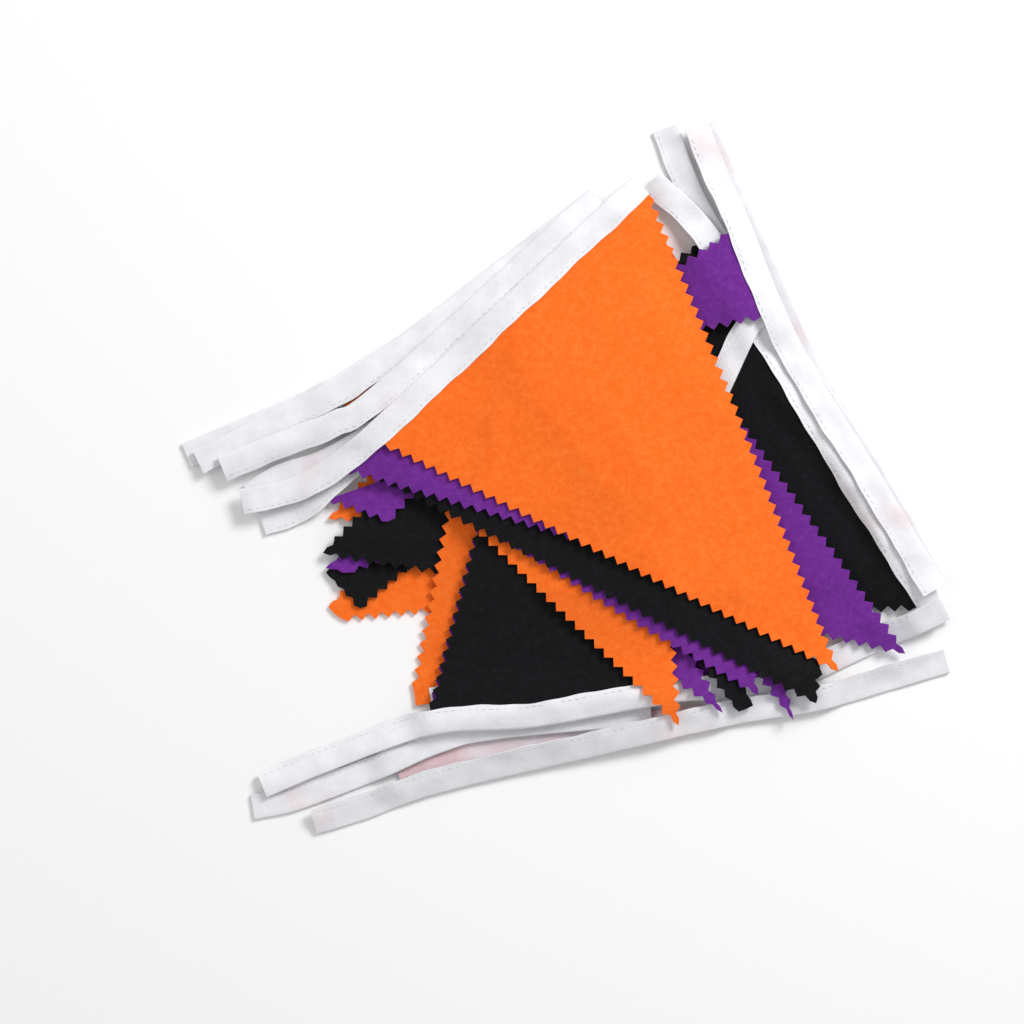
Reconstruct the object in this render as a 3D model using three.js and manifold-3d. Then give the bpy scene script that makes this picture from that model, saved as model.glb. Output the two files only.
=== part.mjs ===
// Felt flag bunting, gathered into a fanned bundle and laid flat.
// Three-cornered felt flags with pinked sides are sewn by their straight bases into a folded
// cotton tape. The tape runs back and forth along three sides of the bundle, and the flags
// point inwards and lie over one another. Millimetres, +Z up, the bundle lies on z = 0.

import * as THREE from 'three';
import { mergeVertices } from 'three/addons/utils/BufferGeometryUtils.js';
import Module from 'manifold-3d';

const wasm = await Module();
wasm.setup();

// Cloth sizes
const FELT_THICK = 1.0;
const TAPE_WIDTH = 10.2;
const TAPE_LEAF = 0.5;
const GAP = 0.3;
const TAPE_BITE = 6.5;
const TOOTH_PITCH = 5.4;
const TOOTH_DEPTH = 2.6;
const TIP_SHARE = 0.2;
const SLOT = FELT_THICK + 2 * GAP;
const TAPE_THICK = SLOT + 2 * TAPE_LEAF;

// The cloth settles over what lies beneath on one shared net of triangles
const NET_CELL = 20;
const NET_HALF_X = 180;
const NET_HALF_Y = 160;
const NET_PROBES = 6;
const PROBE_MARGIN = 2.5;
const TAPE_STEP = 16;
const ROOF = 80;

// The middle of the bundle's outline, which becomes the origin
const CENTRE = { x: -1.79, y: -0.93 };

const COLOURS = {
  orange: 0xfa6e1e,
  purple: 0x6f2c91,
  black: 0x17171a,
  tape: 0xebebee,
};

// The bundle from the floor up. A row is one layer: a flag, a run of tape, or a flag sewn into its
// run. left, right and tip are a flag's corners where they show, pinked names its toothed sides,
// bow is how far those sides swell outwards, bendLeft or bendRight is where a crumpled side turns,
// and run is the tape's middle line.
const LAYERS = [
  { tape: 'tape_right_outer', run: [[54, 143], [67, 113], [83, 76], [98, 43], [124, -2], [148, -54]] },
  { flag: 'flag_orange_low', felt: 'orange', left: [40, 87], right: [102, -40], tip: [-99, -54],
    bendRight: [-93.5, -59], pinked: 'both', bow: 0 },
  { flag: 'flag_black_low', felt: 'black', left: [-20, 35], right: [12, 28], tip: [-100, -40],
    bendRight: [-86, -54.5], pinked: 'both', bow: 0 },
  { flag: 'flag_purple_low', felt: 'purple', left: [49, 87], right: [90, 30], tip: [-100, -38],
    bendRight: [-91, -40], pinked: 'right', bow: 0 },
  { flag: 'flag_orange_left', felt: 'orange', left: [36, 100], right: [100, -2], tip: [-99, -18],
    pinked: 'left', bow: 5 },
  { flag: 'flag_black_left', felt: 'black', left: [53, 94], right: [105, -43], tip: [-101, -32],
    pinked: 'both', bow: 7 },
  { flag: 'flag_purple_left', felt: 'purple', left: [-99, -10], right: [-52, 6], tip: [-74, -19],
    pinked: 'both', bow: 0 },
  { tape: 'tape_right_third', run: [[39, 142], [45, 125], [51, 111], [62, 92], [73, 76], [90, 50], [120, 5],
    [148, -43]] },
  { flag: 'flag_black_right', felt: 'black', left: [62, 71], right: [141, -54], tip: [-49, -68],
    pinked: 'none', bow: 0,
    tape: 'tape_right_second', run: [[33, 120], [55, 98], [79, 57], [112, 2], [146, -52], [151, -61]] },
  { tape: 'tape_right_corner', run: [[150, -56], [135, -63], [119, -70], [100, -79]] },
  { tape: 'tape_turned_back', run: [[77, 66], [71, 59], [64, 44], [57, 29]] },
  { flag: 'flag_purple_folded', felt: 'purple', left: [64, 98], right: [77, 64], tip: [-15, 46],
    pinked: 'both', bow: 0,
    tape: 'tape_right_top', run: [[51, 143], [60, 121], [69, 100], [82, 66], [97, 37], [122, -3],
      [148, -47]] },
  { flag: 'flag_purple_right', felt: 'purple', left: [-34, -35], right: [35, 69], tip: [137, -73],
    pinked: 'both', bow: 0 },
  { flag: 'flag_orange_upright', felt: 'orange', left: [80, -68], right: [-64, -88], tip: [-31, 83],
    pinked: 'right', bow: 0,
    tape: 'tape_bottom_fourth', run: [[-57, -92.5], [12, -81], [83, -70]] },
  { tape: 'tape_bottom_under', run: [[-71, -120], [-37, -111], [12, -105], [55, -99]] },
  { tape: 'tape_bottom_second', run: [[-130, -136], [-115, -133], [-98, -127], [-78, -119], [-54, -108.5],
    [-31, -103], [33, -97]] },
  { flag: 'flag_purple_upright', felt: 'purple', left: [86, -79], right: [-56, -92], tip: [-4, 104],
    pinked: 'right', bow: 0 },
  { flag: 'flag_black_upright', felt: 'black', left: [53, -82], right: [-57, -96], tip: [-6, 100],
    pinked: 'right', bow: 0,
    tape: 'tape_bottom_first', run: [[-126, -127], [-97, -115], [-57, -101], [-16, -98], [29, -90], [55, -87],
      [100, -90]] },
  { tape: 'tape_bottom_front', run: [[-105, -142], [-85, -136], [-58, -126], [0, -112], [62, -98],
    [102, -91], [127, -84], [154, -76]] },
  { flag: 'flag_purple_low_tip', felt: 'purple', left: [-36, 64], right: [53, 59], tip: [91, -100],
    pinked: 'both', bow: 0 },
  { flag: 'flag_purple_fourth', felt: 'purple', left: [-4, -51], right: [29, -35], tip: [62, -97],
    pinked: 'both', bow: 0 },
  { flag: 'flag_black_low_tip', felt: 'black', left: [33, -50], right: [53, -51], tip: [74.5, -94],
    bendLeft: [68.5, -96.5], pinked: 'both', bow: 0 },
  { flag: 'flag_orange_second', felt: 'orange', left: [-93, 31], right: [29, 106], tip: [44, -102],
    pinked: 'both', bow: 0,
    tape: 'tape_left_fifth', run: [[-157, 8], [-102, 32], [-70, 51], [25, 110]] },
  { flag: 'flag_purple_third', felt: 'purple', left: [-89, 18], right: [15, 107], tip: [76.5, -89.5],
    pinked: 'left', bow: 3,
    tape: 'tape_left_fourth', run: [[-152, 5], [-104, 29], [-76, 46], [11, 112]] },
  { flag: 'flag_black_second', felt: 'black', left: [-84, 2], right: [26, 100], tip: [100, -93],
    bendRight: [101.5, -79], pinked: 'both', bow: 0,
    tape: 'tape_left_third', run: [[-126, -20], [-109, -13], [-89, 4], [23, 104]] },
  { tape: 'tape_left_inner', run: [[-131, -8.5], [-118, -0.5], [-101, 5], [-79, 17.5], [-60, 34]] },
  { flag: 'flag_purple_second', felt: 'purple', left: [-92, 2], right: [12, 98], tip: [100, -55],
    pinked: 'left', bow: 0,
    tape: 'tape_left_second', run: [[-142, 2.5], [-110.5, 15], [-95.5, 21], [-75.5, 33.5], [11, 113]] },
  { flag: 'flag_orange_top', felt: 'orange', left: [-75, 12], right: [32, 114], tip: [109, -80],
    pinked: 'both', bow: 0,
    tape: 'tape_left_top', run: [[-134, -11], [-112, -6], [-90, 7], [-65, 29], [29, 118]] },
];

// Outlines

function vector(point) {
  return new THREE.Vector2(point[0], point[1]);
}

// The way square to the line from a to b that points away from the flag's middle
function outwardsOf(a, b, middle) {
  const along = b.clone().sub(a).normalize();
  const out = new THREE.Vector2(along.y, -along.x);
  return out.dot(middle.clone().sub(a)) > 0 ? out.negate() : out;
}

// One side of a flag along its corners, from a base corner to the tip, without these two. The
// teeth grow shallow where the flag is narrow, close to its tip. spread is the flag's width for
// each millimetre of its length.
function flagSide(corners, middle, bow, pinked, spread) {
  const tip = corners[corners.length - 1];
  const points = [];
  for (let k = 1; k < corners.length; k += 1) {
    const [from, to] = [corners[k - 1], corners[k]];
    const outwards = outwardsOf(from, to, middle);
    const teeth = Math.round(from.distanceTo(to) / TOOTH_PITCH);
    const steps = pinked ? 2 * teeth : (bow > 0 ? 6 : 1);
    for (let i = 1; i < steps; i += 1) {
      const t = i / steps;
      const point = from.clone().lerp(to, t);
      const reach = Math.min(TOOTH_DEPTH / 2, TIP_SHARE * spread * point.distanceTo(tip));
      const tooth = i % 2 === 1 ? reach : -reach;
      const swell = 4 * bow * t * (1 - t);
      points.push(point.addScaledVector(outwards, swell + (pinked ? tooth : 0)));
    }
    if (to !== tip) points.push(to);
  }
  return points;
}

// A flag's outline: its base runs on into the tape by the bite, and its sides meet at the tip
function flagOutline(row) {
  const left = vector(row.left);
  const right = vector(row.right);
  const tip = vector(row.tip);
  const middle = left.clone().add(right).add(tip).divideScalar(3);
  const baseOut = outwardsOf(left, right, middle);
  const leftCorners = row.bendLeft ? [left, vector(row.bendLeft), tip] : [left, tip];
  const rightCorners = row.bendRight ? [right, vector(row.bendRight), tip] : [right, tip];
  const spread = left.distanceTo(right) / left.distanceTo(tip);
  const bite = row.tape ? TAPE_BITE : 0;
  const leftTeeth = row.pinked === 'both' || row.pinked === 'left';
  const rightTeeth = row.pinked === 'both' || row.pinked === 'right';
  const outline = [left.clone().addScaledVector(baseOut, bite)];
  if (bite > 0) outline.push(left);
  outline.push(...flagSide(leftCorners, middle, row.bow, leftTeeth, spread));
  outline.push(tip);
  outline.push(...flagSide(rightCorners, middle, row.bow, rightTeeth, spread).reverse());
  if (bite > 0) outline.push(right);
  outline.push(right.clone().addScaledVector(baseOut, bite));
  return outline;
}

// A run of tape: its middle line, set out by half the width on either side
function tapeOutline(row, halfWidth) {
  const curve = new THREE.SplineCurve(row.run.map(vector));
  const steps = Math.max(2, Math.round(curve.getLength() / TAPE_STEP));
  const sideA = [];
  const sideB = [];
  for (let i = 0; i <= steps; i += 1) {
    const point = curve.getPointAt(i / steps);
    const along = curve.getTangentAt(i / steps);
    const across = new THREE.Vector2(-along.y, along.x).multiplyScalar(halfWidth);
    sideA.push(point.clone().add(across));
    sideB.push(point.clone().sub(across));
  }
  return [...sideA, ...sideB.reverse()];
}

// A plain four-cornered pocket round the flag's base, the clearance wider than the felt
function pocketOutline(row) {
  const left = vector(row.left);
  const right = vector(row.right);
  const middle = left.clone().add(right).multiplyScalar(0.5);
  const base = right.clone().sub(left).normalize();
  const inwards = vector(row.tip).sub(middle).normalize();
  const square = new THREE.Vector2(-base.y, base.x);
  if (square.dot(inwards) < 0) square.negate();
  const side = TOOTH_DEPTH;
  const a = left.clone().addScaledVector(base, -side).addScaledVector(square, -TAPE_BITE - GAP);
  const b = right.clone().addScaledVector(base, side).addScaledVector(square, -TAPE_BITE - GAP);
  const c = b.clone().addScaledVector(square, 2 * TAPE_WIDTH);
  const d = a.clone().addScaledVector(square, 2 * TAPE_WIDTH);
  return [a, b, c, d];
}

// The shared net

const COLUMNS = Math.round((2 * NET_HALF_X) / NET_CELL);
const ROWS = Math.round((2 * NET_HALF_Y) / NET_CELL);

function netPoint(i, j) {
  return new THREE.Vector2(i * NET_CELL - NET_HALF_X, j * NET_CELL - NET_HALF_Y);
}

function netIndex(i, j) {
  return j * (COLUMNS + 1) + i;
}

function distanceToEdge(point, a, b) {
  const edge = b.clone().sub(a);
  const t = THREE.MathUtils.clamp(point.clone().sub(a).dot(edge) / edge.lengthSq(), 0, 1);
  return point.distanceTo(a.clone().addScaledVector(edge, t));
}

// Distance outside an outline, and 0 inside it
function distanceOutside(point, outline) {
  let inside = false;
  let nearest = Infinity;
  for (let i = 0; i < outline.length; i += 1) {
    const a = outline[i];
    const b = outline[(i + 1) % outline.length];
    nearest = Math.min(nearest, distanceToEdge(point, a, b));
    const crosses = (a.y > point.y) !== (b.y > point.y);
    if (crosses && point.x < a.x + ((point.y - a.y) / (b.y - a.y)) * (b.x - a.x)) inside = !inside;
  }
  return inside ? 0 : nearest;
}

// 1 at every net point whose triangles touch the outline, 0 elsewhere
function coverage(outline) {
  const covered = new Array((COLUMNS + 1) * (ROWS + 1)).fill(0);
  for (let j = 0; j < ROWS; j += 1) {
    for (let i = 0; i < COLUMNS; i += 1) {
      for (const corners of cellTriangles(i, j)) {
        if (corners.every(([ci, cj]) => covered[netIndex(ci, cj)] === 1)) continue;
        if (!touches(corners, outline)) continue;
        for (const [ci, cj] of corners) covered[netIndex(ci, cj)] = 1;
      }
    }
  }
  return covered;
}

function cellTriangles(i, j) {
  return [
    [[i, j], [i + 1, j], [i + 1, j + 1]],
    [[i, j], [i + 1, j + 1], [i, j + 1]],
  ];
}

function touches(corners, outline) {
  const [a, b, c] = corners.map(([i, j]) => netPoint(i, j));
  for (let u = 0; u <= NET_PROBES; u += 1) {
    for (let v = 0; u + v <= NET_PROBES; v += 1) {
      const point = a.clone()
        .addScaledVector(b.clone().sub(a), u / NET_PROBES)
        .addScaledVector(c.clone().sub(a), v / NET_PROBES);
      if (distanceOutside(point, outline) < PROBE_MARGIN) return true;
    }
  }
  return false;
}

// Solids

function solidFromGeometry(geometry) {
  geometry.deleteAttribute('normal');
  geometry.deleteAttribute('uv');
  const merged = mergeVertices(geometry, 1e-4);
  return new wasm.Manifold(new wasm.Mesh({
    numProp: 3,
    vertProperties: new Float32Array(merged.attributes.position.array),
    triVerts: new Uint32Array(merged.index.array),
  }));
}

function prism(outline) {
  const geometry = new THREE.ExtrudeGeometry(new THREE.Shape(outline), {
    depth: ROOF + 20,
    bevelEnabled: false,
  });
  geometry.translate(0, 0, -10);
  return solidFromGeometry(geometry);
}

// The slab between two height maps on the net, over the cells that the outline can touch
function slab(lower, upper, outline) {
  const box = new THREE.Box2().setFromPoints(outline);
  const first = [box.min.x + NET_HALF_X, box.min.y + NET_HALF_Y].map((v) => Math.floor(v / NET_CELL));
  const last = [box.max.x + NET_HALF_X, box.max.y + NET_HALF_Y].map((v) => Math.ceil(v / NET_CELL));
  const wide = last[0] - first[0] + 1;
  const count = wide * (last[1] - first[1] + 1);
  const positions = [];
  for (const heights of [lower, upper]) {
    for (let j = first[1]; j <= last[1]; j += 1) {
      for (let i = first[0]; i <= last[0]; i += 1) {
        const point = netPoint(i, j);
        positions.push(point.x, point.y, heights[netIndex(i, j)]);
      }
    }
  }
  const local = ([i, j]) => (j - first[1]) * wide + (i - first[0]);
  const faces = [];
  for (let j = first[1]; j < last[1]; j += 1) {
    for (let i = first[0]; i < last[0]; i += 1) {
      for (const corners of cellTriangles(i, j)) {
        const [a, b, c] = corners.map(local);
        faces.push(a + count, b + count, c + count, a, c, b);
      }
    }
  }
  const rim = [];
  for (let i = first[0]; i < last[0]; i += 1) rim.push([i, first[1]]);
  for (let j = first[1]; j < last[1]; j += 1) rim.push([last[0], j]);
  for (let i = last[0]; i > first[0]; i -= 1) rim.push([i, last[1]]);
  for (let j = last[1]; j > first[1]; j -= 1) rim.push([first[0], j]);
  for (let k = 0; k < rim.length; k += 1) {
    const a = local(rim[k]);
    const b = local(rim[(k + 1) % rim.length]);
    faces.push(a, b, b + count, a, b + count, a + count);
  }
  return new wasm.Manifold(new wasm.Mesh({
    numProp: 3,
    vertProperties: new Float32Array(positions),
    triVerts: new Uint32Array(faces),
  }));
}

function raised(heights, lift) {
  return heights.map((height, k) => height + (Array.isArray(lift) ? lift[k] : lift));
}

function clothMesh(name, solid, colour, roughness) {
  const { vertProperties, triVerts, numProp } = solid.getMesh();
  const positions = new Float32Array((vertProperties.length / numProp) * 3);
  for (let v = 0; v < positions.length / 3; v += 1) {
    positions[3 * v] = vertProperties[numProp * v] - CENTRE.x;
    positions[3 * v + 1] = vertProperties[numProp * v + 1] - CENTRE.y;
    positions[3 * v + 2] = vertProperties[numProp * v + 2];
  }
  const geometry = new THREE.BufferGeometry();
  geometry.setAttribute('position', new THREE.BufferAttribute(positions, 3));
  geometry.setIndex(new THREE.BufferAttribute(new Uint32Array(triVerts), 1));
  geometry.computeVertexNormals();
  const material = new THREE.MeshStandardMaterial({ color: colour, roughness, metalness: 0 });
  const mesh = new THREE.Mesh(geometry, material);
  mesh.name = name;
  return mesh;
}

// The bundle, laid down one layer at a time

function makeFlag(row, level, tapeCover) {
  const outline = flagOutline(row);
  const lift = tapeCover.map((c) => c * (TAPE_LEAF + GAP));
  const under = raised(level, lift);
  const sheet = slab(under, raised(under, FELT_THICK), outline);
  return clothMesh(row.flag, sheet.intersect(prism(outline)), COLOURS[row.felt], 0.95);
}

function makeTape(row, level) {
  const outline = tapeOutline(row, TAPE_WIDTH / 2);
  let solid = slab(level, raised(level, TAPE_THICK), outline).intersect(prism(outline));
  if (row.flag) {
    const pocket = pocketOutline(row);
    const floor = raised(level, TAPE_LEAF);
    const slot = slab(floor, raised(floor, SLOT), pocket).intersect(prism(pocket));
    solid = solid.subtract(slot);
  }
  return clothMesh(row.tape, solid, COLOURS.tape, 0.85);
}

const bundle = new THREE.Group();
const nothing = new Array((COLUMNS + 1) * (ROWS + 1)).fill(0);
let level = nothing;
for (const row of LAYERS) {
  const tapeCover = row.tape ? coverage(tapeOutline(row, TAPE_WIDTH / 2)) : nothing;
  const flagCover = row.flag ? coverage(flagOutline({ ...row, pinked: 'none' })) : nothing;
  if (row.flag) bundle.add(makeFlag(row, level, tapeCover));
  if (row.tape) bundle.add(makeTape(row, level));
  const rise = tapeCover.map((c, k) => Math.max(c * (TAPE_THICK + GAP), flagCover[k] * (FELT_THICK + GAP)));
  level = raised(level, rise);
}

export default bundle;
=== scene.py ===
# %% [markdown]
# Felt flag bunting, gathered into a fanned bundle and laid flat.
# Three-cornered felt flags hang by their bases from one long folded tape. Here the string has been
# gathered up: the tape runs back and forth along three sides, and the flags lie over one another.
# Cloth in a pile could be simulated, but a pile that must match a known lay is made more surely from
# given layers: each layer is a thin sheet that settles on the height of everything laid down before it.

# %% Load the fixed frame
import math
import bpy
import numpy as np
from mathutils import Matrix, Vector
from mathutils.geometry import delaunay_2d_cdt


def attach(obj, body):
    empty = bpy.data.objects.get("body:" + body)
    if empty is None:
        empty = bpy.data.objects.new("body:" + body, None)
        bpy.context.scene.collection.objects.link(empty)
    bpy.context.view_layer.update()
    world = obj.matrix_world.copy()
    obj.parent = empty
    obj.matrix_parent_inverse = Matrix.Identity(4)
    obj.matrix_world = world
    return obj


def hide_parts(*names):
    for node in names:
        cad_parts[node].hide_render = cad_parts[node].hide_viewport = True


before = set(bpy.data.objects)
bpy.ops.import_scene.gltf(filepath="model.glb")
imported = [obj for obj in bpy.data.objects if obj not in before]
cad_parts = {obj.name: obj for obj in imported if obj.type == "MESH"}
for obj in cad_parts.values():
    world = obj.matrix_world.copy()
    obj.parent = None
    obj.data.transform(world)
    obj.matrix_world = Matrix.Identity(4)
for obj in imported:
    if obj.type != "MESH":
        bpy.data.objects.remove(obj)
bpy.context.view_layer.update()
bpy.ops.object.select_all(action="DESELECT")
MM = 0.001
print("nodes in the frame:", len(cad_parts))

# %% [markdown]
# Every size below is a real one in millimetres. Felt of this kind is about 1 mm thick and is cut
# with pinking shears, whose teeth are 5.4 mm apart. The tape is 10 mm wide once folded.

# %% Sizes of the cloth
FELT_THICK = 1.0
TOOTH_PITCH = 5.4
TOOTH_DEPTH = 2.6
TIP_SHARE = 0.2
TAPE_WIDTH = 10.2
TAPE_LEAF = 0.45
TAPE_BITE = 6.5
GAP = 0.3
SLOT = FELT_THICK + 2 * GAP
LEAF_ROOM = 0.5  # height kept for each leaf of the tape
TAPE_THICK = SLOT + 2 * LEAF_ROOM
CENTRE = (-1.79, -0.93)

# %% [markdown]
# The bundle is a short table, from the floor up. A flag is given by its two base corners and its
# tip, a run of tape by points on its middle line. "bow" swells a flag's sides outwards, "bend_left"
# and "bend_right" give one side a further corner, and "tinted" tape has taken up some of the dye.
# "ridges" are the creases that show in the photo, each from one place to another with its height
# and half width.

# %% The layers of the bundle
LAYERS = [
    dict(tape="tape_right_outer",
         run=[(54, 143), (67, 113), (83, 76), (98, 43), (124, -2), (148, -54)]),
    dict(flag="flag_orange_low", felt="orange", left=(40, 87), right=(102, -40), tip=(-99, -54),
         bend_right=(-93.5, -59)),
    dict(flag="flag_black_low", felt="black", left=(-20, 35), right=(12, 28), tip=(-100, -40),
         bend_right=(-86, -54.5)),
    dict(flag="flag_purple_low", felt="purple", left=(49, 87), right=(90, 30), tip=(-100, -38),
         bend_right=(-91, -40)),
    dict(flag="flag_orange_left", felt="orange", left=(36, 100), right=(100, -2), tip=(-99, -18),
         bow=5),
    dict(flag="flag_black_left", felt="black", left=(53, 94), right=(105, -43), tip=(-101, -32),
         bow=7,
         ridges=[((-84, -28), (-73.5, -22), 1.5, 3), ((-78, -32.5), (-72.5, -28), 1.5, 2.5),
                 ((-70, -30), (-58, -26), 1.6, 2.5), ((-87, -39.5), (-73, -40), 1.6, 2.5)]),
    dict(flag="flag_purple_left", felt="purple", left=(-99, -10), right=(-52, 6), tip=(-74, -19)),
    dict(tape="tape_right_third",
         run=[(39, 142), (45, 125), (51, 111), (62, 92), (73, 76), (90, 50), (120, 5), (148, -43)]),
    dict(flag="flag_black_right", felt="black", left=(62, 71), right=(141, -54), tip=(-49, -68),
         ridges=[((84, 34), (112, -4), 2.2, 4), ((96, 30), (128, -28), 1.8, 3.5),
                 ((88, 10), (118, -38), 2.0, 4), ((80, 46), (96, 18), 1.4, 3)],
         tape="tape_right_second",
         run=[(33, 120), (55, 98), (79, 57), (112, 2), (146, -52), (151, -61)]),
    dict(tape="tape_right_corner", run=[(150, -56), (135, -63), (119, -70), (100, -79)]),
    dict(tape="tape_turned_back", run=[(77, 66), (71, 59), (64, 44), (57, 29)]),
    dict(flag="flag_purple_folded", felt="purple", left=(64, 98), right=(77, 64), tip=(-15, 46),
         tape="tape_right_top",
         run=[(51, 143), (60, 121), (69, 100), (82, 66), (97, 37), (122, -3), (148, -47)]),
    dict(flag="flag_purple_right", felt="purple", left=(-34, -35), right=(35, 69), tip=(137, -73),
         ridges=[((104, -30), (128, -66), 1.2, 4)]),
    dict(flag="flag_orange_upright", felt="orange", left=(80, -68), right=(-64, -88), tip=(-31, 83),
         tape="tape_bottom_fourth", run=[(-57, -92.5), (12, -81), (83, -70)]),
    dict(tape="tape_bottom_under", run=[(-71, -120), (-37, -111), (12, -105), (55, -99)], tinted=True),
    dict(tape="tape_bottom_second", run=[(-130, -136), (-115, -133), (-98, -127), (-78, -119),
                                         (-54, -108.5), (-31, -103), (33, -97)]),
    dict(flag="flag_purple_upright", felt="purple", left=(86, -79), right=(-56, -92), tip=(-4, 104)),
    dict(flag="flag_black_upright", felt="black", left=(53, -82), right=(-57, -96), tip=(-6, 100),
         ridges=[((-28, -62), (8, -74), 0.8, 5), ((-30, -84), (18, -86), 0.7, 5)],
         tape="tape_bottom_first",
         run=[(-126, -127), (-97, -115), (-57, -101), (-16, -98), (29, -90), (55, -87), (100, -90)]),
    dict(tape="tape_bottom_front", run=[(-105, -142), (-85, -136), (-58, -126), (0, -112), (62, -98),
                                        (102, -91), (127, -84), (154, -76)]),
    dict(flag="flag_purple_low_tip", felt="purple", left=(-36, 64), right=(53, 59), tip=(91, -100)),
    dict(flag="flag_purple_fourth", felt="purple", left=(-4, -51), right=(29, -35), tip=(62, -97)),
    dict(flag="flag_black_low_tip", felt="black", left=(33, -50), right=(53, -51), tip=(74.5, -94),
         bend_left=(68.5, -96.5)),
    dict(flag="flag_orange_second", felt="orange", left=(-93, 31), right=(29, 106), tip=(44, -102),
         tape="tape_left_fifth", run=[(-157, 8), (-102, 32), (-70, 51), (25, 110)]),
    dict(flag="flag_purple_third", felt="purple", left=(-89, 18), right=(15, 107),
         tip=(76.5, -89.5), bow=3,
         tape="tape_left_fourth", run=[(-152, 5), (-104, 29), (-76, 46), (11, 112)]),
    dict(flag="flag_black_second", felt="black", left=(-84, 2), right=(26, 100), tip=(100, -93),
         bend_right=(101.5, -79),
         ridges=[((84, -80), (98, -92), 1.8, 3), ((78, -72), (100, -80), 1.5, 3)],
         tape="tape_left_third", run=[(-126, -20), (-109, -13), (-89, 4), (23, 104)]),
    dict(tape="tape_left_inner", run=[(-131, -8.5), (-118, -0.5), (-101, 5), (-79, 17.5), (-60, 34)]),
    dict(flag="flag_purple_second", felt="purple", left=(-92, 2), right=(12, 98), tip=(100, -55),
         tape="tape_left_second",
         run=[(-142, 2.5), (-110.5, 15), (-95.5, 21), (-75.5, 33.5), (11, 113)]),
    dict(flag="flag_orange_top", felt="orange", left=(-75, 12), right=(32, 114), tip=(109, -80),
         ridges=[((-30, 24), (30, 40), 0.7, 14), ((20, -10), (80, 10), 0.6, 12),
                 ((92, -58), (106, -76), 0.9, 4)],
         tape="tape_left_top", run=[(-134, -11), (-112, -6), (-90, 7), (-65, 29), (29, 118)]),
]
FLAGS = [row for row in LAYERS if "flag" in row]
RUNS = [row for row in LAYERS if "tape" in row]
print(len(FLAGS), "flags and", len(RUNS), "runs of tape")

# %% [markdown]
# A pinked edge is a zigzag about the straight side. The teeth are cut last, so a flag's outline
# swells by its bow first. Near the tip, where the flag is narrow, the teeth grow shallow.

# %% Outlines of the flags
LONGEST_EDGE = 3.6  # a longer straight edge is divided
PLAIN_STEPS = 12  # parts of a side that is drawn without its teeth


def away_from(direction, inside):
    """The unit vector square to direction that points away from the vector inside."""
    square = np.array((direction[1], -direction[0]))
    square = square / np.linalg.norm(square)
    return -square if square @ inside > 0 else square


def flag_side(corners, middle, bow, spread, pinked):
    """One side along its corners, from a base corner to the tip, without these two."""
    points = []
    for start, end in zip(corners, corners[1:]):
        outwards = away_from(end - start, middle - start)
        teeth = round(np.linalg.norm(end - start) / TOOTH_PITCH)
        steps = 2 * teeth if pinked else PLAIN_STEPS
        for i in range(1, steps):
            t = i / steps
            point = start + (end - start) * t
            narrow = TIP_SHARE * spread * np.linalg.norm(corners[-1] - point)
            reach = min(TOOTH_DEPTH / 2, narrow) if pinked else 0
            points.append(point + outwards * (4 * bow * t * (1 - t) + (reach if i % 2 else -reach)))
        points.append(end)
    return points[:-1]


def flag_outline(row, pinked=True):
    left, right, tip = (np.array(row[key], float) for key in ("left", "right", "tip"))
    middle, bow = (left + right + tip) / 3, row.get("bow", 0)
    spread = np.linalg.norm(right - left) / np.linalg.norm(tip - left)
    base_out = away_from(right - left, middle - left)
    bends = [[np.array(row[key], float)] if key in row else [] for key in ("bend_left", "bend_right")]
    outline = [left]
    outline += flag_side([left, *bends[0], tip], middle, bow, spread, pinked)
    outline.append(tip)
    outline += flag_side([right, *bends[1], tip], middle, bow, spread, pinked)[::-1]
    outline.append(right)
    if "tape" in row:
        outline += [right + base_out * TAPE_BITE, left + base_out * TAPE_BITE]
    return with_edge_points(outline)


def with_edge_points(outline):
    """The outline with its long straight edges divided, so that they can follow the pile."""
    points = []
    for a, b in zip(outline, outline[1:] + outline[:1]):
        parts = max(1, math.ceil(np.linalg.norm(b - a) / LONGEST_EDGE))
        points += [a + (b - a) * i / parts for i in range(parts)]
    return np.array(points)


print("points round the top flag:", len(flag_outline(LAYERS[-1])))

# %% [markdown]
# The tape's middle line is a smooth curve through the points of its row, walked in even steps.

# %% Middle lines of the tape
TAPE_STEP = 2.5
CURVE_STEPS = 24  # parts of the curve between two points of a row


def smooth_line(points, step=TAPE_STEP):
    """Even steps along the curve that runs smoothly through the points."""
    knots = [np.array(p, float) for p in (points[0], *points, points[-1])]
    line = []
    for a, b, c, d in zip(knots, knots[1:], knots[2:], knots[3:]):
        for t in np.linspace(0, 1, CURVE_STEPS, endpoint=False):
            line.append(0.5 * (2 * b + (c - a) * t + (2 * a - 5 * b + 4 * c - d) * t**2
                               + (3 * b - a - 3 * c + d) * t**3))
    line = np.array(line + [knots[-1]])
    lengths = np.concatenate(([0], np.cumsum(np.linalg.norm(np.diff(line, axis=0), axis=1))))
    at = np.linspace(0, lengths[-1], max(3, round(lengths[-1] / step)) + 1)
    return np.stack([np.interp(at, lengths, line[:, i]) for i in (0, 1)], axis=1), lengths[-1]


def line_normals(line):
    along = np.gradient(line, axis=0)
    along /= np.linalg.norm(along, axis=1)[:, None]
    return np.stack((-along[:, 1], along[:, 0]), axis=1)


def run_outline(row):
    line, _ = smooth_line(row["run"])
    across = line_normals(line) * TAPE_WIDTH / 2
    return np.concatenate((line + across, (line - across)[::-1]))


print("tape in all:", round(sum(smooth_line(row["run"])[1] for row in RUNS) / 1000, 2), "m")

# %% [markdown]
# The height of the pile is kept on a fine net over the floor. Each layer raises it by its own
# thickness where it lies, and the rise fades out beside it, as limp felt slopes down off an edge.

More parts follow.
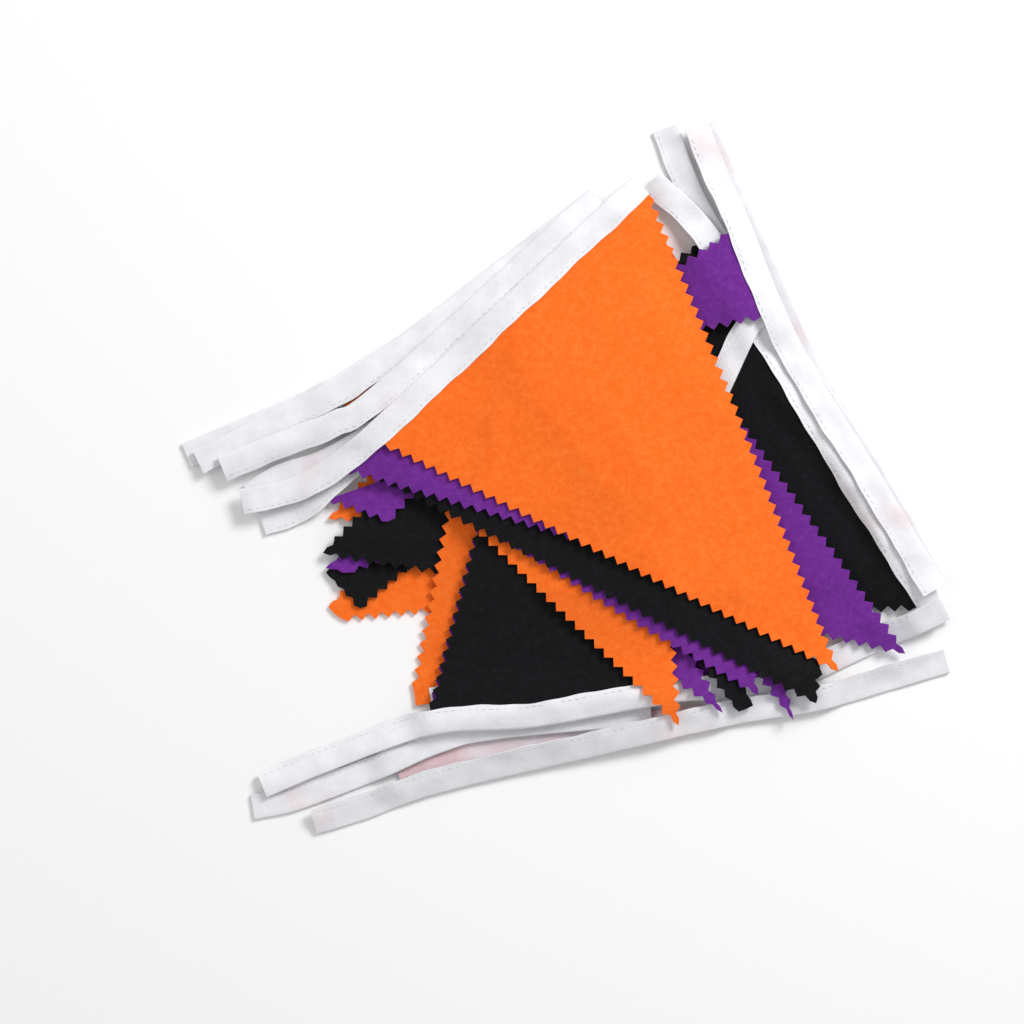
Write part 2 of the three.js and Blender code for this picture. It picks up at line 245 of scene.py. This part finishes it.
# %% The height of the pile
NET_STEP = 2.0
NET_X = np.arange(-190, 190 + NET_STEP, NET_STEP)
NET_Y = np.arange(-170, 170 + NET_STEP, NET_STEP)
GRID_X, GRID_Y = np.meshgrid(NET_X, NET_Y)
NET_POINTS = np.stack((GRID_X.ravel(), GRID_Y.ravel()), axis=1)
EDGE_MARGIN = 2.5
EDGE_FALL = 11.0
LONG_SWELL = 0.22
CROSS_SWELL = 0.16


def distance_to_edges(points, outline):
    nearest = np.full(len(points), np.inf)
    for a, b in zip(outline, np.roll(outline, -1, axis=0)):
        edge = b - a
        t = np.clip((points - a) @ edge / max(edge @ edge, 1e-9), 0, 1)
        nearest = np.minimum(nearest, np.linalg.norm(points - a - t[:, None] * edge, axis=1))
    return nearest


def inside_outline(points, outline):
    inside = np.zeros(len(points), bool)
    x, y = points[:, 0], points[:, 1]
    for a, b in zip(outline, np.roll(outline, -1, axis=0)):
        if a[1] == b[1]:
            continue
        crosses = (a[1] > y) != (b[1] > y)
        inside ^= crosses & (x < a[0] + (y - a[1]) / (b[1] - a[1]) * (b[0] - a[0]))
    return inside


def coverage(outline):
    """1 under the outline, falling smoothly to 0 beside it, on the net."""
    outside = np.where(inside_outline(NET_POINTS, outline), 0, distance_to_edges(NET_POINTS, outline))
    t = np.clip((outside - EDGE_MARGIN) / EDGE_FALL, 0, 1)
    return (1 - t * t * (3 - 2 * t)).reshape(GRID_X.shape)


def sample(net, points):
    """The net's value at points, evened out between its four nearest places."""
    fx = np.clip((points[:, 0] - NET_X[0]) / NET_STEP, 0, len(NET_X) - 1.001)
    fy = np.clip((points[:, 1] - NET_Y[0]) / NET_STEP, 0, len(NET_Y) - 1.001)
    i, j = fx.astype(int), fy.astype(int)
    u, v = fx - i, fy - j
    return ((net[j, i] * (1 - u) + net[j, i + 1] * u) * (1 - v)
            + (net[j + 1, i] * (1 - u) + net[j + 1, i + 1] * u) * v)


def ridge(start, end, height, half_width):
    """A soft crease on the net, highest in the middle of its line."""
    a, b = np.array(start, float), np.array(end, float)
    edge = b - a
    t = (NET_POINTS - a) @ edge / (edge @ edge)
    aside = np.linalg.norm(NET_POINTS - a - np.clip(t, 0, 1)[:, None] * edge, axis=1)
    return (height * np.exp(-(aside / half_width) ** 2)).reshape(GRID_X.shape)


def bridged(net, reach=3, passes=2):
    """The net with its hollows spanned, because felt is too stiff to sink into narrow ones."""
    soft, shifts = net, range(-reach, reach + 1)
    for _ in range(passes):
        for axis in (0, 1):
            soft = sum(np.roll(soft, k, axis=axis) for k in shifts) / len(shifts)
    return np.maximum(net, soft)


def looseness(seed):
    """A slow swell of the felt, never below 0, different for each layer."""
    turn = 2.4 * seed
    wave = np.sin(GRID_X / 23 * math.cos(turn) + GRID_Y / 23 * math.sin(turn) + seed)
    cross = np.sin(GRID_Y / 31 * math.cos(turn) - GRID_X / 37 * math.sin(turn) + 2 * seed)
    return LONG_SWELL * (1 + wave) / 2 + CROSS_SWELL * (1 + cross) / 2


print("net of", GRID_X.shape, "places")

# %% [markdown]
# Colours are written as sRGB hex and turned to the linear values that the shader needs. One small
# function adds a node, sets what is the same all over, and links what is not.

# %% Helpers for materials
def linear(hex_colour):
    parts = [int(hex_colour[i:i + 2], 16) / 255 for i in (1, 3, 5)]
    return [c / 12.92 if c <= 0.04045 else ((c + 0.055) / 1.055) ** 2.4 for c in parts] + [1.0]


def add_node(tree, kind, settings=(), values=(), links=()):
    """A node of that kind: settings on the node, values on its sockets, links into its sockets."""
    node = tree.nodes.new(kind)
    for key, value in dict(settings).items():
        setattr(node, key, value)
    for key, value in dict(values).items():
        node.inputs[key].default_value = value
    for key, socket in dict(links).items():
        tree.links.new(socket, node.inputs[key])
    return node


def new_material(name):
    material = bpy.data.materials.new(name)
    material.use_nodes = True
    material.node_tree.nodes.clear()
    return material, material.node_tree


def colour_ramp(tree, factor, stops):
    ramp = add_node(tree, "ShaderNodeValToRGB", links={"Fac": factor})
    elements = ramp.color_ramp.elements
    elements[0].position, elements[0].color = stops[0]
    elements[1].position, elements[1].color = stops[-1]
    for position, colour in stops[1:-1]:
        elements.new(position).color = colour
    return ramp.outputs["Color"]


print("white is", linear("#ffffff")[:3])

# %% [markdown]
# Pressed acrylic felt has no weave: short fibres lie every way, so the colour is faintly mottled
# and the surface is a fine, soft stubble with no gloss, lit at its edges by the fibres' sheen.
# Mottling is under 3 mm wide, the fibres 0.5 mm, drawn a little coarser than real so that they show.

# %% Felt
MOTTLE_SIZE = 2.6 * MM
FIBRE_SIZE = 0.55 * MM
FELT_HEX = {
    "orange": ("#f2600f", "#fb701f", "#ff8434"),
    "purple": ("#601f80", "#6e2890", "#7d3a9f"),
    "black": ("#060608", "#0e0e11", "#1b1b1f"),
}
FELT_SHEEN = {"orange": 0.12, "purple": 0.12, "black": 0.05}


def felt_material(colour):
    material, tree = new_material(f"pressed_felt_{colour}")
    place = add_node(tree, "ShaderNodeTexCoord").outputs["Object"]
    mottle = add_node(tree, "ShaderNodeTexNoise",
                      values={"Scale": 1 / MOTTLE_SIZE, "Detail": 5, "Roughness": 0.65},
                      links={"Vector": place}).outputs["Fac"]
    fibre = add_node(tree, "ShaderNodeTexNoise",
                     values={"Scale": 1 / FIBRE_SIZE, "Detail": 3, "Roughness": 0.7, "Distortion": 1.2},
                     links={"Vector": place}).outputs["Fac"]
    both = add_node(tree, "ShaderNodeMix", values={"Factor": 0.45},
                    links={"A": mottle, "B": fibre}).outputs["Result"]
    dark, plain, light = (linear(c) for c in FELT_HEX[colour])
    base = colour_ramp(tree, both, [(0.30, dark), (0.5, plain), (0.72, light)])
    stubble = add_node(tree, "ShaderNodeBump",
                       values={"Strength": 0.45, "Distance": 0.25 * MM},
                       links={"Height": fibre})
    pile = add_node(tree, "ShaderNodeBump",
                    values={"Strength": 0.25, "Distance": 0.8 * MM},
                    links={"Height": mottle, "Normal": stubble.outputs["Normal"]})
    shader = add_node(tree, "ShaderNodeBsdfPrincipled",
                      values={"Roughness": 0.95, "Specular IOR Level": 0.2,
                              "Sheen Weight": FELT_SHEEN[colour], "Sheen Roughness": 0.5},
                      links={"Base Color": base, "Normal": pile.outputs["Normal"]})
    add_node(tree, "ShaderNodeOutputMaterial", links={"Surface": shader.outputs["BSDF"]})
    return material


FELT = {colour: felt_material(colour) for colour in FELT_HEX}
print("felt in", ", ".join(FELT))

# %% [markdown]
# The tape is bleached cotton twill: fine threads, a slight gloss, painted shade that greys it in the
# hollows of its crease bump, and in a few places a pink stain from the dyed felt. Threads are 0.4 mm
# apart on the real tape and are drawn 0.8 mm apart, because finer ones would not show. The pattern
# follows the tape's own map.

# %% Tape
THREAD_SPACING = 0.8 * MM
TWIST_SPACING = 0.5 * MM
WAVE_PERIOD = 0.32  # about the width of one band of the wave texture at scale 1


def tape_material(name, stain):
    material, tree = new_material(name)
    place = add_node(tree, "ShaderNodeTexCoord")
    ribs = add_node(tree, "ShaderNodeTexWave",
                    settings={"wave_type": "BANDS", "bands_direction": "DIAGONAL"},
                    values={"Scale": WAVE_PERIOD / THREAD_SPACING, "Distortion": 1.0, "Detail": 2,
                            "Detail Scale": 1.5},
                    links={"Vector": place.outputs["UV"]}).outputs["Fac"]
    cloud = add_node(tree, "ShaderNodeTexNoise",
                     values={"Scale": 1 / (9 * MM), "Detail": 4, "Roughness": 0.6},
                     links={"Vector": place.outputs["Object"]}).outputs["Fac"]
    blush = add_node(tree, "ShaderNodeTexNoise",
                     values={"Scale": 1 / (42 * MM), "Detail": 2, "Roughness": 0.5},
                     links={"Vector": place.outputs["Object"]}).outputs["Fac"]
    # painted shade: the white is greyer where the crease noise is low, in the tape's hollows
    white = colour_ramp(tree, cloud, [(0.3, linear("#e2e2e7")), (0.7, linear("#f0f0f3"))])
    amount = colour_ramp(tree, blush, [(0.62 - stain, (0, 0, 0, 1)),
                                       (0.82 - stain, (0.7, 0.7, 0.7, 1))])
    base = add_node(tree, "ShaderNodeMix", settings={"data_type": "RGBA", "blend_type": "MULTIPLY"},
                    links={"Factor": amount, "A": white})
    base.inputs["B"].default_value = linear("#f3c3c4")
    threads = add_node(tree, "ShaderNodeBump",
                       values={"Strength": 0.2, "Distance": 0.2 * MM},
                       links={"Height": ribs})
    creases = add_node(tree, "ShaderNodeBump",
                       values={"Strength": 0.25, "Distance": 0.9 * MM},
                       links={"Height": cloud, "Normal": threads.outputs["Normal"]})
    shader = add_node(tree, "ShaderNodeBsdfPrincipled",
                      values={"Roughness": 0.75, "Specular IOR Level": 0.35, "Sheen Weight": 0.1},
                      links={"Normal": creases.outputs["Normal"]})
    tree.links.new(base.outputs["Result"], shader.inputs["Base Color"])
    add_node(tree, "ShaderNodeOutputMaterial", links={"Surface": shader.outputs["BSDF"]})
    return material


TAPE = tape_material("cotton_twill_tape", stain=0.0)
TAPE_TINTED = tape_material("cotton_twill_tape_dye_marked", stain=0.3)
THREAD, thread_tree = new_material("polyester_sewing_thread")
thread_place = add_node(thread_tree, "ShaderNodeTexCoord").outputs["Object"]
# painted shade: the grey bands along the twist stand for shade in the grooves between the thread's
# plies
thread_twist = add_node(thread_tree, "ShaderNodeTexWave",
                        values={"Scale": WAVE_PERIOD / TWIST_SPACING, "Distortion": 0.5},
                        links={"Vector": thread_place}).outputs["Fac"]
thread_shader = add_node(thread_tree, "ShaderNodeBsdfPrincipled",
                         values={"Roughness": 0.5},
                         links={"Base Color": colour_ramp(thread_tree, thread_twist,
                                                          [(0.2, linear("#c9c9d0")),
                                                           (0.8, linear("#eeeef2"))])})
add_node(thread_tree, "ShaderNodeOutputMaterial", links={"Surface": thread_shader.outputs["BSDF"]})
print("tape and thread:", TAPE.name, TAPE_TINTED.name, THREAD.name)

# %% [markdown]
# A flag is one thin sheet. Its outline and a fine lattice of points inside it are joined into
# triangles, every point is set down on the pile, and a Solidify modifier gives the felt its
# thickness. The lattice is what lets the felt bend over the layers below.

# %% Setting down a flag
LATTICE = 2.8
ROW_SHARE = 0.866  # a row's height in a lattice of equal-sided triangles
EDGE_CLEAR = 1.3


def new_piece(name, points, faces, material, node=None):
    mesh = bpy.data.meshes.new(name)
    shifted = [((p[0] - CENTRE[0]) * MM, (p[1] - CENTRE[1]) * MM, p[2] * MM) for p in points]
    mesh.from_pydata(shifted, [], [tuple(int(i) for i in f) for f in faces])
    mesh.update()
    piece = bpy.data.objects.new(name, mesh)
    bpy.context.scene.collection.objects.link(piece)
    piece.data.materials.append(material)
    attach(piece, "root")
    if node:
        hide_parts(node)
    return piece


def apply_modifier(piece, kind, **settings):
    bpy.ops.object.select_all(action="DESELECT")
    bpy.context.view_layer.objects.active = piece
    piece.select_set(True)
    modifier = piece.modifiers.new(kind.title(), kind)
    for key, value in settings.items():
        setattr(modifier, key, value)
    bpy.ops.object.modifier_apply(modifier=modifier.name)


def smooth_by_angle(piece, degrees):
    bpy.ops.object.select_all(action="DESELECT")
    bpy.context.view_layer.objects.active = piece
    piece.select_set(True)
    bpy.ops.object.shade_smooth_by_angle(angle=math.radians(degrees))
    piece.select_set(False)


def lattice_inside(outline):
    low, high = outline.min(axis=0), outline.max(axis=0)
    xs = np.arange(low[0], high[0], LATTICE)
    ys = np.arange(low[1], high[1], LATTICE * ROW_SHARE)
    points = np.array([(x + (LATTICE / 2 if j % 2 else 0), y)
                       for j, y in enumerate(ys) for x in xs])
    points = points[inside_outline(points, outline)]
    return points[distance_to_edges(points, outline) > EDGE_CLEAR]


def set_down_flag(row, level, tape_cover):
    outline = flag_outline(row)
    points = np.concatenate((outline, lattice_inside(outline)))
    n = len(outline)
    flat, _, faces, _, _, _ = delaunay_2d_cdt(
        [Vector(p) for p in points], [(i, (i + 1) % n) for i in range(n)], [list(range(n))], 1, 1e-5)
    flat = np.array([tuple(p) for p in flat])
    height = sample(level, flat) + sample(tape_cover, flat) * (LEAF_ROOM + GAP) + FELT_THICK / 2
    solid = np.column_stack((flat, height))
    faces = [f if face_up(solid, f) else f[::-1] for f in faces]
    piece = new_piece(row["flag"] + "_felt", solid, faces, FELT[row["felt"]],
                      row["flag"])
    apply_modifier(piece, "SOLIDIFY", thickness=FELT_THICK * MM, offset=0)
    smooth_by_angle(piece, 40)


def face_up(points, face):
    a, b, c = (points[i] for i in face[:3])
    return (b[0] - a[0]) * (c[1] - a[1]) > (b[1] - a[1]) * (c[0] - a[0])


# %% [markdown]
# The tape is a strip folded lengthwise, so that one leaf lies under the felt's base and one over it.
# It is swept along its middle line: across the strip goes a section that runs in along the lower
# leaf, round the outer fold and back along the upper leaf. Where no felt lies in it the leaves
# close up. Its inner edge is a little uneven, as sewn tape is.

# %% Setting down a run of tape
SECTION_LEAF_STEPS = 5
FOLD_STEPS = 5
CLOSED_GAP = 0.55
BUNDLE_MIDDLE = (10, -10)
WANDER = ((0.25, 0.41, 1), (0.15, 1.13, 2))  # size, turn with each step, share of the seed
FLUTTER = 0.12


def tape_section(gap):
    """Points across the folded tape, as (distance in from the outer fold, height)."""
    low, radius = TAPE_LEAF / 2, (gap + TAPE_LEAF) / 2
    lower = [(TAPE_WIDTH + (radius - TAPE_WIDTH) * i / SECTION_LEAF_STEPS, low)
             for i in range(SECTION_LEAF_STEPS + 1)]
    fold = [(radius * (1 - math.sin(a)), low + radius * (1 - math.cos(a)))
            for a in np.linspace(0, math.pi, FOLD_STEPS + 2)[1:-1]]
    upper = [(x, low + 2 * radius) for x, _ in lower[::-1]]
    return lower + fold + upper


def inner_side(row, line, normals):
    """+1 or -1: the side of the middle line on which the flag, or the bundle's middle, lies."""
    target = np.array(row.get("tip", BUNDLE_MIDDLE), float)
    middle = len(line) // 2
    return 1 if normals[middle] @ (target - line[middle]) > 0 else -1


def set_down_tape(row, level, flag_cover, seed):
    line, length = smooth_line(row["run"])
    normals = line_normals(line)
    normals *= inner_side(row, line, normals)
    felt_here = sample(flag_cover, line + normals * TAPE_WIDTH / 4)
    points, faces, flat = [], [], []
    count = len(tape_section(SLOT))
    for k, (at, normal, felt) in enumerate(zip(line, normals, felt_here)):
        gap = CLOSED_GAP + (SLOT - CLOSED_GAP) * felt
        wander = sum(size * math.sin(turn * k + share * seed) for size, turn, share in WANDER)
        for x, z in tape_section(gap):
            place = at + normal * (x - TAPE_WIDTH / 2 + wander * x / TAPE_WIDTH)
            flutter = FLUTTER * math.sin(0.9 * k + seed + 0.3 * x) if z > gap else 0
            points.append((*place, z + flutter))
            flat.append((x * (1 if z > gap else -1) * MM, k * TAPE_STEP * MM))
    points = np.array(points)
    points[:, 2] += sample(level, points[:, :2])
    for k in range(len(line) - 1):
        for i in range(count - 1):
            a, b = k * count + i, (k + 1) * count + i
            faces.append((a, a + 1, b + 1, b))
    piece = new_piece(row["tape"] + "_folded", points, faces,
                      TAPE_TINTED if row.get("tinted") else TAPE, row["tape"])
    map_layer = piece.data.uv_layers.new(name="tape_map")
    for loop in piece.data.loops:
        map_layer.data[loop.index].uv = flat[loop.vertex_index]
    apply_modifier(piece, "SOLIDIFY", thickness=TAPE_LEAF * MM, offset=0)
    recalculate_normals(piece)
    smooth_by_angle(piece, 50)
    stitches = sew(row, line, normals, felt_here, level)


def recalculate_normals(piece):
    bpy.ops.object.select_all(action="DESELECT")
    bpy.context.view_layer.objects.active = piece
    piece.select_set(True)
    bpy.ops.object.mode_set(mode="EDIT")
    bpy.ops.mesh.select_all(action="SELECT")
    bpy.ops.mesh.normals_make_consistent(inside=False)
    bpy.ops.object.mode_set(mode="OBJECT")


# %% [markdown]
# The tape is closed by one row of machine stitches close to its inner edge. Each stitch is a short
# flattened bar of thread that sinks into the tape at both ends. One shape is given and repeated.

# %% Sewing
STITCH_PITCH = 3.0
STITCH_LONG = 2.2
STITCH_WIDE = 0.38
STITCH_IN = 1.5
STITCH_SIDES = 6
STITCH_RINGS = (  # share of the length, share of the width, lift
    (-0.5, 0.35, -0.16), (-0.3, 0.9, 0.02), (0.0, 1.0, 0.08), (0.3, 0.9, 0.02), (0.5, 0.35, -0.16))


def sew(row, line, normals, felt_here, level):
    rings, sides = len(STITCH_RINGS), STITCH_SIDES
    points, faces = [], []
    steps = np.arange(len(line)) * TAPE_STEP
    for s in np.arange(STITCH_PITCH, steps[-1] - STITCH_PITCH / 2, STITCH_PITCH):
        at = np.array([np.interp(s, steps, line[:, i]) for i in (0, 1)])
        normal = np.array([np.interp(s, steps, normals[:, i]) for i in (0, 1)])
        normal /= np.linalg.norm(normal)
        along = np.array((-normal[1], normal[0]))
        centre = at + normal * (TAPE_WIDTH / 2 - STITCH_IN)
        felt = np.interp(s, steps, felt_here)
        top = CLOSED_GAP + (SLOT - CLOSED_GAP) * felt + 2 * TAPE_LEAF
        first = len(points)
        for share, fat, lift in STITCH_RINGS:
            for turn in range(sides):
                angle = 2 * math.pi * turn / sides
                xy = (centre + along * share * STITCH_LONG
                      + normal * fat * STITCH_WIDE / 2 * math.cos(angle))
                z = (sample(level, xy[None])[0] + top + lift
                     + fat * STITCH_WIDE / 3 * math.sin(angle))
                points.append((*xy, z))
        for r in range(rings - 1):
            for turn in range(sides):
                a, b = first + r * sides + turn, first + r * sides + (turn + 1) % sides
                faces.append((a, b, b + sides, a + sides))
        faces.append([first + turn for turn in range(sides)][::-1])
        faces.append([first + (rings - 1) * sides + turn for turn in range(sides)])
    piece = new_piece(row["tape"] + "_stitches", points, faces, THREAD)
    recalculate_normals(piece)
    smooth_by_angle(piece, 60)
    return piece


# %% [markdown]
# Now the bundle is laid down from the floor up. Each layer first adds its own creases and swell to
# the pile, is set down on it, and then raises the pile by its thickness for the next one.

# %% Laying down the bundle
level = np.zeros(GRID_X.shape)
for number, row in enumerate(LAYERS):
    has_flag, has_tape = "flag" in row, "tape" in row
    flag_cover = coverage(flag_outline(row, pinked=False)) if has_flag else np.zeros(GRID_X.shape)
    tape_cover = coverage(run_outline(row)) if has_tape else np.zeros(GRID_X.shape)
    level = level + (bridged(level) - level) * flag_cover
    for start, end, height, half_width in row.get("ridges", ()):
        level = level + ridge(start, end, height, half_width)
    if has_flag:
        level = level + looseness(number) * flag_cover
        set_down_flag(row, level, tape_cover)
    if has_tape:
        set_down_tape(row, level, flag_cover, seed=number)
    level = level + np.maximum(tape_cover * (TAPE_THICK + GAP), flag_cover * (FELT_THICK + GAP))
print("the pile is", round(float(level.max()), 1), "mm high")

# %% [markdown]
# The photo is taken from straight above, so the camera looks down with the photo's top towards +Y.
# One pixel of the photo is 0.41 mm. The floor is a plain pale sheet, and the light is a wide soft
# box from the upper right, which throws the faint shadow to the lower left.

# %% Floor, light and camera
MM_PER_PIXEL = 0.41
FRAME_PIXELS = 1024
PHOTO_MIDDLE = (-23.8 - CENTRE[0], -15.2 - CENTRE[1])
CAMERA_HEIGHT = 1400.0
SENSOR = 36.0

bpy.ops.mesh.primitive_plane_add(size=6, location=(0, 0, -0.0004))
floor = bpy.context.object
floor.name = "floor"
paper, paper_tree = new_material("matt_white_paper")
paper_place = add_node(paper_tree, "ShaderNodeTexCoord").outputs["Object"]
paper_grain = add_node(paper_tree, "ShaderNodeTexNoise", values={"Scale": 900.0, "Detail": 2},
                       links={"Vector": paper_place}).outputs["Fac"]
paper_bump = add_node(paper_tree, "ShaderNodeBump", values={"Strength": 0.02, "Distance": 0.1 * MM},
                      links={"Height": paper_grain})
paper_shader = add_node(paper_tree, "ShaderNodeBsdfPrincipled",
                        values={"Base Color": linear("#fafafa"), "Roughness": 0.9},
                        links={"Normal": paper_bump.outputs["Normal"]})
add_node(paper_tree, "ShaderNodeOutputMaterial", links={"Surface": paper_shader.outputs["BSDF"]})
floor.data.materials.append(paper)


def soft_box(name, place, size, watts):
    data = bpy.data.lights.new(name, "AREA")
    data.shape, data.size, data.energy = "SQUARE", size, watts
    lamp = bpy.data.objects.new(name, data)
    bpy.context.scene.collection.objects.link(lamp)
    lamp.location = place
    lamp.rotation_euler = (Vector(place) * -1).to_track_quat("-Z", "Y").to_euler()


soft_box("soft_box_upper_right", place=(0.85, 0.95, 1.15), size=0.6, watts=21)
soft_box("soft_box_left", place=(-1.1, 0.2, 1.4), size=1.2, watts=4)
world = bpy.data.worlds.new("studio")
world.use_nodes = True
world.node_tree.nodes["Background"].inputs["Color"].default_value = (1, 1, 1, 1)
world.node_tree.nodes["Background"].inputs["Strength"].default_value = 0.5
bpy.context.scene.world = world
bpy.context.scene.view_settings.view_transform = "Standard"

camera_data = bpy.data.cameras.new("camera")
camera_data.sensor_width = SENSOR
camera_data.lens = SENSOR * CAMERA_HEIGHT / (MM_PER_PIXEL * FRAME_PIXELS)
camera = bpy.data.objects.new("camera", camera_data)
bpy.context.scene.collection.objects.link(camera)
camera.location = (PHOTO_MIDDLE[0] * MM, PHOTO_MIDDLE[1] * MM, CAMERA_HEIGHT * MM)
bpy.context.scene.camera = camera
print("lens", round(camera_data.lens, 1), "mm")
